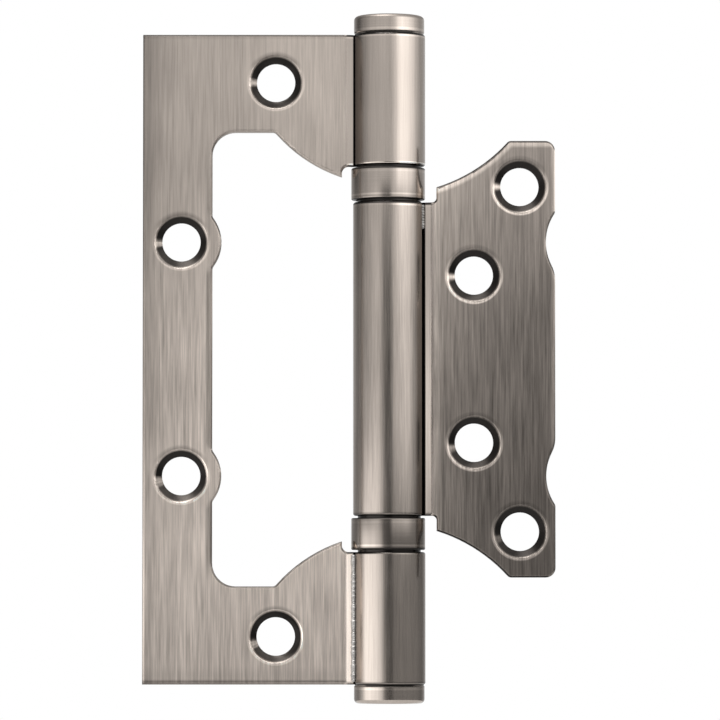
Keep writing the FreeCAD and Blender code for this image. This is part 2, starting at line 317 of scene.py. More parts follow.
class HingeStage(bpy.types.PropertyGroup):
    camera_distance: length_property("Camera distance", "From the camera to the pin", 1000)
    camera_height: length_property("Camera height", "Above mid height of the hinge", -45)
    picture_width: length_property("Picture width", "What the picture takes in at the pin", 138.35)
    picture_centre: length_property("Picture centre", "From the pin to the middle of the picture", -5.62)
    aim_height: length_property("Aim height", "Height at the pin that the camera looks at", -0.19)
    floor_depth: length_property("Floor depth", "From mid height down to the floor", 150)
    floor_size: length_property("Floor size", "Width of the pale floor", 4400)
    tent_radius: length_property("Tent radius", "From the pin to the studio's light tent", 300)
    tent_top: length_property("Tent top", "Height of the tent's open top", 420)
    world_level: number_property("World level", "Strength of the soft light from all round", 0.62)
    lamp_watts: number_property("Lamp watts", "Power of the soft lamp overhead", 9.0)
    lamp_size: length_property("Lamp size", "Width of that lamp", 700)
    floor_colour: colour_property("Floor colour", "Colour of the pale floor", (0.93, 0.93, 0.93))


def opaque(colour):
    return (*colour, 1.0)


def plain_mesh(piece):
    """Swaps a piece's mesh for the result of its modifiers, with merged points and outward faces."""
    evaluated = piece.evaluated_get(bpy.context.evaluated_depsgraph_get())
    mesh = bpy.data.meshes.new_from_object(evaluated)
    piece.modifiers.clear()
    piece.data = mesh
    work = bmesh.new()
    work.from_mesh(mesh)
    bmesh.ops.remove_doubles(work, verts=work.verts, dist=MERGE_DISTANCE)
    bmesh.ops.recalc_face_normals(work, faces=work.faces)
    work.to_mesh(mesh)
    work.free()


def new_piece(name, points, edges):
    """An object with points and edges only, for a tree of nodes to work on."""
    mesh = bpy.data.meshes.new(name)
    mesh.from_pydata(points, edges, [])
    piece = bpy.data.objects.new(name, mesh)
    bpy.context.scene.collection.objects.link(piece)
    return piece


def new_tree(name, inputs):
    """A tree of Geometry Nodes, and a value for its geometry and for each of its named inputs."""
    tree = bpy.data.node_groups.new(name, "GeometryNodeTree")
    tree.interface.new_socket("Geometry", in_out="OUTPUT", socket_type="NodeSocketGeometry")
    kinds = {"Geometry": "NodeSocketGeometry", **inputs}
    for label, kind in kinds.items():
        tree.interface.new_socket(label, in_out="INPUT", socket_type=kind)
    return tree, {label: Shade.added(tree, "NodeGroupInput", output=label) for label in kinds}


def end_tree(shape, material):
    """Realizes the instances, sets the material and ends the tree."""
    realized = shape.node("GeometryNodeRealizeInstances", None, {0: shape})
    dressed = realized.node("GeometryNodeSetMaterial", None, {"Geometry": realized, "Material": material})
    dressed.node("NodeGroupOutput", None, {"Geometry": dressed})


def apply_tree(piece, tree, values):
    """Runs a tree on a piece, with its inputs set by their sockets' identifiers, and keeps the result."""
    modifier = piece.modifiers.new(tree.name, "NODES")
    modifier.node_group = tree
    for item in tree.interface.items_tree:
        if item.in_out == "INPUT" and item.name in values:
            modifier[item.identifier] = values[item.name]
    plain_mesh(piece)


def smooth_faces(shape):
    """The same shape with smooth shading on all its faces."""
    return shape.node("GeometryNodeSetShadeSmooth", {"domain": "FACE"}, {
        "Geometry": shape, "Shade Smooth": True})


def smooth_by_angle(shape, limit):
    """Smooth faces with sharp edges where they meet at more than the limit."""
    angle = shape.node("GeometryNodeInputMeshEdgeAngle")
    sharp = angle.maths("GREATER_THAN", angle, limit)
    smooth = smooth_faces(shape)
    return smooth.node("GeometryNodeSetShadeSmooth", {"domain": "EDGE"}, {
        "Geometry": smooth, "Selection": sharp, "Shade Smooth": False})


def turning_tree():
    """Turns a half section, drawn as edges in the XZ plane, about the Z axis."""
    tree, given = new_tree("turned piece", {
        "Segments": "NodeSocketInt", "Rail Radius": "NodeSocketFloat",
        "Sharp Angle": "NodeSocketFloat", "Material": "NodeSocketMaterial"})
    place = Shade.added(tree, "GeometryNodeInputPosition")
    radius = place.node("ShaderNodeSeparateXYZ", None, {0: place}, 0)
    height = place.node("ShaderNodeSeparateXYZ", None, {0: place}, 2)
    drawn = place.node("ShaderNodeCombineXYZ", None, {0: radius - given["Rail Radius"], 1: height * -1.0})
    flat = place.node("GeometryNodeSetPosition", None, {"Geometry": given["Geometry"], "Position": drawn})
    section = flat.node("GeometryNodeMeshToCurve", None, {"Mesh": flat})
    rail = flat.node("GeometryNodeCurvePrimitiveCircle", {"mode": "RADIUS"}, {
        "Resolution": given["Segments"], "Radius": given["Rail Radius"]})
    spun = rail.node("GeometryNodeCurveToMesh", None, {"Curve": rail, "Profile Curve": section})
    merged = spun.node("GeometryNodeMergeByDistance", None, {
        "Geometry": spun, "Distance": MERGE_DISTANCE})
    end_tree(smooth_by_angle(merged, given["Sharp Angle"]), given["Material"])
    return tree


def turned_piece(name, section, closed, material, stands_for, centre=(0.0, 0.0)):
    """Turns a half section about an upright axis into a piece that stands for a CAD node."""
    points = [(radius, 0.0, height) for radius, height in section]
    count = len(points)
    edges = [(number, (number + 1) % count) for number in range(count if closed else count - 1)]
    piece = new_piece(name, points, edges)
    tree = bpy.data.node_groups.get("turned piece") or turning_tree()
    apply_tree(piece, tree, {
        "Segments": bpy.context.scene.hinge_turning.segments,
        "Rail Radius": max(radius for radius, height in section),
        "Sharp Angle": SHARP_ANGLE, "Material": material})
    for vertex in piece.data.vertices:
        vertex.co.x += centre[0]
        vertex.co.y += centre[1]
    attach(piece, BODY_OF[stands_for])
    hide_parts(stands_for)


def rounded_corner(radius, height, rounding, first_turn, steps=7):
    """Points of a quarter circle in the half section, from its centre and the turn where it starts."""
    return [(radius + rounding * math.cos(first_turn + step * math.pi / 2 / steps),
             height + rounding * math.sin(first_turn + step * math.pi / 2 / steps))
            for step in range(steps + 1)]


# Patterns in the metal: waves a millimetre across and along the pin, detail, roughness and an offset
FINE_LINES = (3.0, 0.10, 4.0, 0.6)
BROAD_LINES = (0.9, 0.03, 2.0, 0.5, 31.0)
CLOUDS = (0.10, 0.05, 2.0, 0.5, 57.0)
LATHE_RINGS = (0.02, 7.0, 3.0, 0.6)
LATHE_STREAKS = (2.2, 0.05, 3.0, 0.6, 11.0)
STEEL_GRAIN = (1.5, 5.0, 4.0, 0.6)
WELD_BLOTCHES = (1.1, 1.1, 4.0, 0.65)

# Depth of those patterns' relief in millimetres
BRUSHED_RELIEF = 0.006
TURNED_RELIEF = 0.004
STEEL_RELIEF = 0.002
WELD_RELIEF = 0.02

# How far those patterns lighten and darken the metal, and the broad lines' share of the brushing
BROAD_SHARE = 0.25
LINE_CONTRAST = 4.0
CLOUD_CONTRAST = 0.35
RING_CONTRAST = 0.35
STREAK_CONTRAST = 0.30
GRAIN_CONTRAST = 0.2
BLOTCH_CONTRAST = 1.4

# How far the turned nickel and the ground steel stretch a reflection
TURNED_STRETCH = 0.3
STEEL_STRETCH = 0.2

# How each leaf differs. Levels are pairs of a height in millimetres and how light the brushing is there,
# as painted light and shade. The bend is how far from the pin the leaf's painted highlight strip ends, how
# softly, and how light it is above and below. The hole light is how bright the painted highlights at its
# screw holes are. The last entry is how dark the painted shade is on edges that face up, down, left and
# right.
LARGE_LEAF = {
    "levels": ((-62.5, 1.5), (-40.0, 1.75), (0.0, 1.58), (40.0, 1.0), (62.5, 0.97)),
    "bend": (8.4, 0.45, 0.15, 0.7),
    "hole_light": 0.45,
    "outline": (0.62, 0.25, 0.1, 0.42),
}
SMALL_LEAF = {
    "levels": ((-42.0, 0.41), (-15.0, 0.42), (0.0, 0.46), (42.0, 0.66)),
    "bend": (8.1, 0.35, -0.3, 0.75),
    "hole_light": 1.9,
    "outline": (0.9, 1.0, 0.12, 0.15),
}

# The level that a leaf's ramp shows as white
LEVEL_TOP = 2.0

# How much painted shade darkens the rounded upper edges, the knuckle's upper end and the sheet above a hole
UPPER_EDGE_SHADE = 0.62
UPPER_END_SHADE = 0.68
HOLE_SHADE = 0.45

# How wide the flat face fades into the bend, and how far the normal is drawn on a bend and at a glint
FLAT_FADE = 1.2
BEND_DRAW = 0.9
GLINT_DRAW = 0.85


class LeafSurface(Surface):
    """The tree of a leaf's material, with masks for its flat faces, its front and its screw holes.

    The side is 1 where the leaf lies towards +X and -1 where it lies towards -X."""

    def __init__(self, name, side, holes):
        super().__init__(name)
        self.holes = holes
        self.across = self.x * side
        self.on_flat = self.across.rise(BEND_START - FLAT_FADE, BEND_START)
        self.off_flat = 1 - self.on_flat
        self.on_front = self.y.rise(0.9, 0.3)
        self.in_front_half = self.y.rise(0.0, -0.5)
        self.from_hole = self.away(holes[0])
        for hole in holes[1:]:
            self.from_hole = self.from_hole.least(self.away(hole))

    def away(self, hole):
        """The distance from the axis of a screw hole, or from that of its twin below mid height."""
        x, z = hole
        return (self.x - x).distance(abs(self.z) - z)

    def brushing(self, levels, streaks):
        """How light the brushed metal is before any mark, with painted light and shade by height, and its
        fine lines.
        """
        fine = self.noise(*FINE_LINES)
        broad = self.noise(*BROAD_LINES)
        cloud = self.noise(*CLOUDS)
        lines = (1 - BROAD_SHARE) * fine + BROAD_SHARE * broad
        level = self.z.through(levels, LEVEL_TOP) * LEVEL_TOP
        tone = 1 + self.on_flat * (level - 1)
        contrast = LINE_CONTRAST * streaks * (0.7 + 0.3 * self.z.rise(55.0, -10.0))
        tone = tone * (1 + contrast * (lines - 0.5) * (0.4 + 0.6 * self.on_flat))
        return tone * (1 + CLOUD_CONTRAST * (cloud - 0.5)), fine

    def lit_bend(self, end, fade, upper_light, lower_light):
        """A painted highlight on the strip between the barrel and the flat face, and how light it is."""
        light = upper_light + (lower_light - upper_light) * self.z.rise(30.0, -30.0)
        strip = self.on_front * self.across.rise(BARREL_RADIUS - 0.13, BARREL_RADIUS + 0.03)
        return strip * self.across.rise(end + fade, end - fade), light

    def hole_light_and_shade(self):
        """A painted highlight on the rim of each screw hole, strongest below it, and a painted shade above
        it.
        """
        upper_or_lower = self.z.maths("SIGN", self.z)
        light, shade = 0.0, 0.0
        for hole in self.holes:
            away = self.away(hole)
            below = (hole[1] - abs(self.z)) * upper_or_lower
            on_rim = away.band(COUNTERSINK_RADIUS - 0.25, COUNTERSINK_RADIUS + 0.42, 0.16)
            light = light + on_rim * (0.1 + below.rise(-3.5, 4.0))
            shade = shade + away.rise(COUNTERSINK_RADIUS + 1.0, COUNTERSINK_RADIUS) * below.rise(-2.0, -4.5)
        return [share * self.on_flat * self.in_front_half for share in (light, shade)]

    def glint(self):
        """A painted highlight at the left of each countersink, lower down in the lower ones."""
        turn = self.normal_z - 0.24 * self.z.rise(40.0, -45.0)
        return self.on_flat * self.normal_x.rise(0.56, 0.64) * turn.band(-0.08, 0.08, 0.09)

    def outline(self, up, down, left, right):
        """Painted shade on the rounded edges of the flat faces, with a share for each way that they face.
        """
        lean = self.normal_x.distance(self.normal_z).most(0.05)
        sideways, upwards = self.normal_x / lean, self.normal_z / lean
        to_left, to_right = sideways.rise(-0.75, -0.95), sideways.rise(0.1, 0.5)
        share = up * upwards.rise(-0.1, 0.3) + down * upwards.rise(0.1, -0.3)
        share = share + to_left * (left - share)
        share = share + to_right * (right - share)
        off_holes = self.from_hole.rise(COUNTERSINK_RADIUS + 0.3, COUNTERSINK_RADIUS + 0.5)
        return self.on_flat * off_holes * abs(self.normal_y).rise(0.99, 0.88) * share

    def recess(self, glint):
        """Black patina in each countersink, thinned by painted light where it looks up and left out at the
        painted glint.
        """
        inside = self.from_hole.rise(COUNTERSINK_RADIUS - 0.12, COUNTERSINK_RADIUS - 0.45)
        inside = inside * self.y.rise(HALF_SHEET, HALF_SHEET - 0.05)
        return inside * (1 - 0.2 * self.normal_z.rise(0.0, 0.6)) * (1 - glint)

    def barrel_shade(self, end_shade):
        """Painted shade: black in the knuckle's bore, on its ends and beside its seam."""
        upright = abs(self.normal_z)
        in_bore = self.from_axis.rise(BARREL_RADIUS - 0.05, BARREL_RADIUS - 0.2) * upright.rise(0.35, 0.1)
        ends = self.off_flat * upright.rise(0.48, 0.62).most(end_shade)
        at_seam = self.across.rise(4.6, 6.6) * self.across.rise(BARREL_RADIUS + 0.1, BARREL_RADIUS)
        return in_bore.most(ends).most(0.75 * self.on_front * at_seam)

    def leaned_normal(self, share, lean):
        """The normal drawn by a share to the front and a lean across it, as on a burnished bend."""
        kept = 1 - share
        drawn = share.node("ShaderNodeCombineXYZ", None, {
            0: self.normal_x * kept + share * lean, 1: self.normal_y * kept - share,
            2: self.normal_z * kept})
        return drawn.node("ShaderNodeVectorTransform", {
            "vector_type": "NORMAL", "convert_from": "OBJECT", "convert_to": "WORLD"}, {0: drawn})


def brushed_leaf(name, side, holes, streaks, edge_light_and_shade, knuckle_light_and_shade, levels, bend, hole_light, outline):
    """Nickel brushed along the pin on the flat faces, burnished on the knuckle, with black patina in the
    countersinks and painted shade in the bore, the seam, the knuckle ends and on edges.

    Edge light and shade are painted shares added to the flat faces' tone. Knuckle light and shade are a
    painted highlight share and a painted shade share, both for the knuckle."""
    finish = bpy.context.scene.hinge_finish
    leaf = LeafSurface(name, side, holes)
    tone, fine = leaf.brushing(levels, streaks)
    # Painted light and shade near the edges of the flat faces
    for mark in edge_light_and_shade(leaf):
        tone = tone * (1 + leaf.on_flat * mark)
    knuckle_light, end_shade = knuckle_light_and_shade(leaf)

    # Painted shade on rounded edges and knuckle ends that look up
    upper_edge = leaf.on_flat * abs(leaf.normal_y).rise(0.997, 0.95) * leaf.normal_z.rise(0.04, 0.25)
    upper_end = leaf.off_flat * leaf.normal_z.rise(0.12, 0.3)
    tone = tone * (1 - UPPER_EDGE_SHADE * upper_edge) * (1 - UPPER_END_SHADE * upper_end)
    # Painted highlights below the screw holes and on the knuckle rims, painted shade above the holes
    painted_crescents, above_holes = leaf.hole_light_and_shade()
    tone = tone * (1 + leaf.off_flat * knuckle_light) * (1 - HOLE_SHADE * above_holes)
    # Painted highlights on the bend strip and at the glints
    on_bend, bend_light = leaf.lit_bend(*bend)
    glint = leaf.glint()
    tone = tone * (1 + hole_light * painted_crescents + bend_light * on_bend + finish.glint_light * glint)

    # Black patina in the countersinks, painted shade on the edges and in the knuckle's bore, ends and seam
    dark = leaf.outline(*outline).most(leaf.recess(glint)).most(leaf.barrel_shade(end_shade))
    colour = dark.mixed(tone.times_colour(finish.nickel[:]), opaque(finish.patina_and_shade))
    roughness = finish.barrel_roughness + leaf.on_flat * (finish.leaf_roughness - finish.barrel_roughness)
    roughness = roughness + 0.16 * (fine - 0.5) + 0.06 * dark
    drawn = (BEND_DRAW * on_bend).most(GLINT_DRAW * glint)
    normal = leaf.leaned_normal(drawn, finish.bend_lean * side)
    return leaf.finish(colour, roughness, fine, BRUSHED_RELIEF, finish.brushing, normal)


def outer_edge_light_and_shade(leaf):
    """The large leaf's painted light and shade: light near the barrel, dark along its far edge, its ends
    and its window.
    """
    window_side = OUTER_LOW[0] + STRIP_WIDTH
    window_end = INNER_HIGH[2] + WINDOW_END_GAP
    beside_window = abs(leaf.z).rise(window_end - 0.5, window_end - 7.0) * leaf.z.rise(48.0, 15.0)
    off_lobes = leaf.from_hole.rise(6.8, 8.4)
    on_strip = leaf.x.rise(window_side + 0.6, window_side + 0.2)
    from_edge = leaf.x - OUTER_LOW[0]
    from_window = window_side - leaf.x
    from_end = OUTER_HIGH[2] - abs(leaf.z)
    from_foot = leaf.z - OUTER_LOW[2]
    return (
        0.18 * leaf.x.rise(-36.0, -12.0),  # lighter towards the barrel
        -0.12 * from_edge.rise(7.5, 2.5),  # two steps darker along the far edge
        (-0.12 - 0.12 * leaf.z.rise(-20.0, 30.0)) * from_edge.rise(3.6, 0.8),
        -0.36 * beside_window * off_lobes * on_strip * from_window.rise(1.3, 0.9),  # dark at the window
        0.14 * beside_window * on_strip * from_window.band(1.4, 3.0, 0.4),  # and a light line beside it
        -0.14 * from_end.rise(1.0, 0.5),  # darker at both ends
        -0.12 * from_foot.rise(4.0, 1.5),  # two more steps darker at the foot
        -0.45 * from_foot.rise(1.1, 0.5),
    )


def inner_edge_light_and_shade(leaf):
    """The small leaf's painted light: light near the barrel, along its far edge and inside its upper edges.
    """
    from_side = INNER_HIGH[0] - leaf.x
    from_end = INNER_HIGH[2] - abs(leaf.z)
    from_arc = leaf.x.distance(abs(leaf.z) - ARC_CENTRE_Z) - (TAB_RADIUS + TAB_GAP)
    in_upper_half = leaf.z.rise(-5.0, 5.0)
    return (
        0.34 * leaf.x.rise(36.0, 12.0),  # three steps lighter towards the barrel
        0.25 * leaf.x.rise(17.0, 10.0),
        (0.45 + 0.65 * leaf.z.rise(35.0, -20.0)) * leaf.x.rise(10.6, 8.1),
        0.35 * from_side.rise(0.9, 0.6),  # lighter along the far edge
        in_upper_half * from_end.least(from_arc).rise(1.5, 0.7),  # and inside the upper edges
    )


def outer_knuckle_light_and_shade(leaf):
    """Painted highlights on both rims of the top knuckle, and painted shade on its top and at the bottom
    knuckle's foot.
    """
    in_upper_half = leaf.z.rise(-5.0, 5.0)
    from_top = OUTER_HIGH[2] - leaf.z
    from_bearing = abs(leaf.z) - OUTER_KNUCKLE_START
    from_foot = leaf.z - OUTER_LOW[2]
    to_right = leaf.normal_x.rise(0.1, 0.35)
    light = in_upper_half * from_bearing.band(0.12, 0.5, 0.1) * (0.35 + 1.6 * to_right)
    light = light + 0.4 * from_top.band(0.42, 0.75, 0.1)
    return light, (0.6 * from_foot.rise(0.75, 0.3)).most(from_top.rise(0.46, 0.34))


def inner_knuckle_light_and_shade(leaf):
    """Painted shade at both ends of the middle knuckle, with a painted highlight under the upper one."""
    from_top = MIDDLE_KNUCKLE_END - leaf.z
    from_foot = leaf.z + MIDDLE_KNUCKLE_END
    to_right = leaf.normal_x.rise(-0.1, 0.2)
    light = from_top.band(0.6, 0.95, 0.1) * (0.1 + 0.6 * to_right)
    return light, from_top.rise(0.6, 0.42).most(0.65 * from_foot.rise(0.8, 0.25))


def turned_nickel(name, level, up_level, light_and_shade):
    """Nickel polished on a lathe, with fine rings and faint streaks along the pin.

    The up level is the share of the level that painted shade leaves where the metal looks up. Light and
    shade give painted highlights in places, and where painted shade is laid."""
    finish = bpy.context.scene.hinge_finish
    surface = Surface(name)
    rings = surface.noise(*LATHE_RINGS)
    streaks = surface.noise(*LATHE_STREAKS)
    light, dark = light_and_shade(surface)
    tone = 1 + RING_CONTRAST * (rings - 0.5) + STREAK_CONTRAST * (streaks - 0.5)
    tone = level * tone * (1 + light)
    # Painted shade where the metal looks up
    looks_up = surface.normal_z.rise(0.12, 0.35)
    tone = tone * (1 + (up_level - 1) * looks_up)
    colour = dark.mixed(tone.times_colour(finish.nickel[:]), opaque(finish.patina_and_shade))
    roughness = finish.barrel_roughness + 0.12 * (rings - 0.5) + 0.1 * dark + 0.25 * looks_up
    return surface.finish(colour, roughness, rings, TURNED_RELIEF, TURNED_STRETCH)


def cap_light_and_shade(surface):
    """A painted highlight on a cap's flange, and painted shade in the groove under it that fades to the
    sides.
    """
    turning = bpy.context.scene.hinge_turning
    groove_end = OUTER_HIGH[2] + turning.cap_neck_height / MILLIMETRE
    in_groove = abs(surface.z).rise(groove_end + 0.06, groove_end - 0.02)
    at_rim = (abs(surface.z) - groove_end).band(0.25, 0.7, 0.12)
    return 0.3 * at_rim, in_groove * (0.35 + 0.65 * abs(surface.x).rise(5.6, 4.2))


def shell_light_and_shade(surface):
    """Painted shade on the ends of a shell and a painted highlight line inside each, stronger on the end
    that faces down. The lower shell is painted darker.
    """
    middle = (SHELL_LOW + SHELL_HIGH) / 2
    from_middle = abs(surface.z) - middle
    from_end = (SHELL_HIGH - SHELL_LOW) / 2 - abs(from_middle)
    at_outer_knuckle = from_middle.rise(-0.5, 0.5)
    faces_down = (from_middle * surface.z).rise(0.5, -0.5)
    light = (0.15 + 0.35 * faces_down) * from_end.band(0.65, 1.0, 0.12) - 0.2 * surface.z.rise(5.0, -5.0)
    return light, from_end.rise(0.22 + 0.3 * at_outer_knuckle, 0.12 + 0.14 * at_outer_knuckle)


def ground_steel():
    """Bright ground steel of the pin, with painted shade on the races and the balls round it."""
    finish = bpy.context.scene.hinge_finish
    surface = Surface("ground steel")
    grain = surface.noise(*STEEL_GRAIN)
    tone = 1 + GRAIN_CONTRAST * (grain - 0.5)
    # Painted shade on the races and balls, where they show in the gaps
    race_shade = surface.from_axis.rise(PIN_RADIUS + 0.4, PIN_RADIUS + 0.9)
    colour = race_shade.mixed(tone.times_colour(finish.bare_steel[:]), opaque(finish.patina_and_shade))
    return surface.finish(colour, 0.16 + 0.1 * grain, grain, STEEL_RELIEF, STEEL_STRETCH)


def weld_metal():
    """Grey unbrushed weld under its plating, lighter on the lower one."""
    finish = bpy.context.scene.hinge_finish
    surface = Surface("plated weld")
    blotches = surface.noise(*WELD_BLOTCHES)
    tone = (1 + BLOTCH_CONTRAST * (blotches - 0.5)) * (1 + 0.5 * surface.z.rise(-20.0, -36.0))
    colour = tone.times_colour(finish.weld_grey[:])
    return surface.finish(colour, 0.42 + 0.2 * (blotches - 0.5), blotches, WELD_RELIEF, 0.0)


def dress(node, material):
    """Gives a CAD node its material."""
    for slot in NODES[node].material_slots:
        slot.material = material


class HINGE_OT_finish_leaves(bpy.types.Operator):
    """Brushes the two stamped leaves and burnishes their knuckles"""
    bl_idname = "hinge.finish_leaves"
    bl_label = "Finish leaves"

    def execute(self, context):
        finish = context.scene.hinge_finish
        dress("outer_leaf", brushed_leaf(
            "brushed nickel, large leaf", -1, OUTER_HOLES, finish.outer_streaks,
            outer_edge_light_and_shade, outer_knuckle_light_and_shade, **LARGE_LEAF))
        dress("inner_leaf", brushed_leaf(
            "brushed nickel, small leaf", 1, INNER_HOLES, finish.inner_streaks,
            inner_edge_light_and_shade, inner_knuckle_light_and_shade, **SMALL_LEAF))
        return {"FINISHED"}


class HINGE_OT_finish_bearings(bpy.types.Operator):
    """Gives the pin, the races and the balls their ground steel"""
    bl_idname = "hinge.finish_bearings"
    bl_label = "Finish pin and bearings"

    def execute(self, context):
        steel = ground_steel()
        for node in NODES:
            if "race" in node or "ball_" in node or node == "hinge_pin":
                dress(node, steel)
        return {"FINISHED"}


class HINGE_OT_turn_caps(bpy.types.Operator):
    """Turns the two caps"""
    bl_idname = "hinge.turn_caps"
    bl_label = "Turn caps"

    def execute(self, context):
        turning = context.scene.hinge_turning
        material = turned_nickel("turned nickel, caps", level=1.0, up_level=0.6, light_and_shade=cap_light_and_shade)
        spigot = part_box("hinge_pin")[1][0]
        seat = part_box("outer_leaf")[1][2]
        flange = seat + turning.cap_neck_height
        rim = turning.cap_rounding
        for node, way in (("top_cap", 1), ("bottom_cap", -1)):
            low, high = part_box(node)
            bottom, top = sorted((abs(low[2]), abs(high[2])))
            reach = high[0]
            neck = reach - turning.cap_neck_inset
            section = [(0.0, bottom), (spigot, bottom), (spigot, seat), (neck, seat), (neck, flange),
                       (reach - CAP_BEVEL, flange), (reach, flange + CAP_BEVEL)]
            section += rounded_corner(reach - rim, top - rim, rim, 0.0)
            section += [(reach / 2, top), (0.0, top)]
            turned_piece(f"{node}_turned", [(radius, way * height) for radius, height in section],
                         False, material, node)
        return {"FINISHED"}


class HINGE_OT_roll_shells(bpy.types.Operator):
    """Rolls the two bearing shells"""
    bl_idname = "hinge.roll_shells"
    bl_label = "Roll bearing shells"

    def execute(self, context):
        turning = context.scene.hinge_turning
        material = turned_nickel(
            "turned nickel, bearing shells", level=0.95, up_level=0.3, light_and_shade=shell_light_and_shade)
        rim = turning.shell_rounding
        lip = turning.shell_lip
        for side in SIDES:
            node = f"{side}_bearing_shell"
            low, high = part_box(node)
            centre = ((low[0] + high[0]) / 2, 0.0)
            outside = (high[0] - low[0]) / 2
            inside = outside - turning.shell_wall
            lip_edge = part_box(f"{side}_bearing_fixed_race")[1][0] - turning.shell_grip
            section = [(lip_edge, low[2])]
            section += rounded_corner(outside - rim, low[2] + rim, rim, -math.pi / 2)
            section += rounded_corner(outside - rim, high[2] - rim, rim, 0.0)
            section += [(lip_edge, high[2]), (lip_edge, high[2] - lip), (inside, high[2] - lip),
                        (inside, low[2] + lip), (lip_edge, low[2] + lip)]
            turned_piece(f"{node}_rolled", section, True, material, node, centre)
        return {"FINISHED"}


def bead_tree():
    """Flattened ripples of slightly different sizes that overlap along a path."""
    tree, given = new_tree("weld bead", {
        "Ripples": "NodeSocketInt", "Ripple Radius": "NodeSocketFloat",
        "Seed": "NodeSocketInt", "Material": "NodeSocketMaterial"})
    path = Shade.added(tree, "GeometryNodeMeshToCurve", None, {"Mesh": given["Geometry"]})
    spots = path.node("GeometryNodeResampleCurve", {"mode": "COUNT"}, {
        "Curve": path, "Count": given["Ripples"]})
    ripple = smooth_faces(path.node("GeometryNodeMeshIcoSphere", None, {
        "Radius": given["Ripple Radius"], "Subdivisions": RIPPLE_SUBDIVISIONS}))
    smallest, largest = RIPPLE_SCALES
    size = path.node("FunctionNodeRandomValue", {"data_type": "FLOAT"}, {
        2: smallest, 3: largest, "Seed": given["Seed"]}, 1)
    scale = path.node("ShaderNodeCombineXYZ", None, {0: size, 1: size, 2: size * RIPPLE_FLATNESS})
    placed = path.node("GeometryNodeInstanceOnPoints", None, {
        "Points": spots, "Instance": ripple, "Scale": scale})
    end_tree(placed, given["Material"])
    return tree


def lay_bead(name, leaf, place, low, high, radius, ripples, seed, material):
    """Lays one bead upright beside a leaf's knuckle, with its place and heights in millimetres."""
    ends = [(place[0] * MILLIMETRE, place[1] * MILLIMETRE, height * MILLIMETRE) for height in (low, high)]
    piece = new_piece(name, ends, [(0, 1)])
    tree = bpy.data.node_groups.get("weld bead") or bead_tree()
    apply_tree(piece, tree, {
        "Ripples": ripples, "Ripple Radius": radius, "Seed": seed, "Material": material})
    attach(piece, BODY_OF[leaf])


class HINGE_OT_lay_welds(bpy.types.Operator):
    """Lays the grey welds seen in the seams of the middle and the bottom knuckle"""
    bl_idname = "hinge.lay_welds"
    bl_label = "Lay welds"

    def execute(self, context):
        turning = context.scene.hinge_turning
        material = weld_metal()
        high = MIDDLE_KNUCKLE_END - BEAD_INSET
        length = turning.bead_length / MILLIMETRE
        lay_bead("seam_weld", "inner_leaf", UPPER_BEAD, high - length, high,
                 turning.bead_radius, turning.bead_count, UPPER_BEAD_SEED, material)
        low = OUTER_LOW[2] + BEAD_INSET
        high = -OUTER_KNUCKLE_START - BEAD_INSET
        lay_bead("lower_seam_weld", "outer_leaf", LOWER_BEAD, low, high,
                 LOWER_BEAD_WIDENING * turning.bead_radius,
                 LOWER_BEAD_MORE_RIPPLES * turning.bead_count, LOWER_BEAD_SEED, material)
        return {"FINISHED"}


# What the polished knuckles show of the studio, from behind on the left, past the front at 0, to
# behind on the right: pairs of degrees and brightness, for the tent's upper, middle and lower part.
TENT_UPPER = ((-180, 0.8), (-150, 0.4), (-118, 0.14), (-92, 0.45), (-55, 0.85), (-14, 0.95), (4, 0.85),
              (16, 1.15), (36, 2.45), (58, 2.2), (76, 1.75), (98, 0.95), (120, 0.55), (180, 0.8))
TENT_MIDDLE = ((-180, 0.8), (-150, 0.5), (-115, 0.25), (-78, 0.62), (-32, 1.05), (-14, 0.22), (4, 0.12),
               (15, 1.0), (62, 1.35), (84, 0.6), (115, 0.22), (180, 0.8))
TENT_LOWER = ((-180, 0.8), (-150, 0.4), (-118, 0.35), (-98, 0.9), (-80, 2.3), (-45, 2.0), (-28, 1.4),
              (-12, 0.22), (4, 0.12), (18, 0.32), (60, 0.33), (95, 0.32), (125, 0.22), (180, 0.8))

# The brightness that the tent's ramps show as white, and the flat sides of its round wall
BRIGHTEST = 2.5
TENT_SIDES = 96

# Heights in millimetres between which one part of the tent passes into the next
LOWER_TO_MIDDLE = (-45, 5)
MIDDLE_TO_UPPER = (20, 75)

# Where the overhead lamp hangs, in metres from the pin's middle, and how it is turned
LAMP_PLACE = (-0.25, -0.35, 0.95)
LAMP_TURN = (math.radians(20), math.radians(-14), 0.0)

# The world's colour, and the width of the camera's sensor in millimetres
WHITE = (1.0, 1.0, 1.0)
SENSOR_WIDTH = 36.0


def tent_material():
    """Soft boxes and dark gaps painted round the tent as plain light."""
    surface = Surface("studio tent")
    toward = surface.y * -1.0
    degrees = toward.maths("ARCTAN2", surface.x, toward) * math.degrees(1)
    lower, middle, upper = [
        degrees.through(levels, BRIGHTEST) for levels in (TENT_LOWER, TENT_MIDDLE, TENT_UPPER)]
    lower_half = surface.z.rise(*LOWER_TO_MIDDLE).mixed(lower, middle)
    colour = surface.z.rise(*MIDDLE_TO_UPPER).mixed(lower_half, upper)
    light = colour.node("ShaderNodeEmission", None, {"Color": colour, "Strength": BRIGHTEST})
    light.node("ShaderNodeOutputMaterial", None, {"Surface": light})
    surface.material.cycles.emission_sampling = "NONE"
    return surface.material


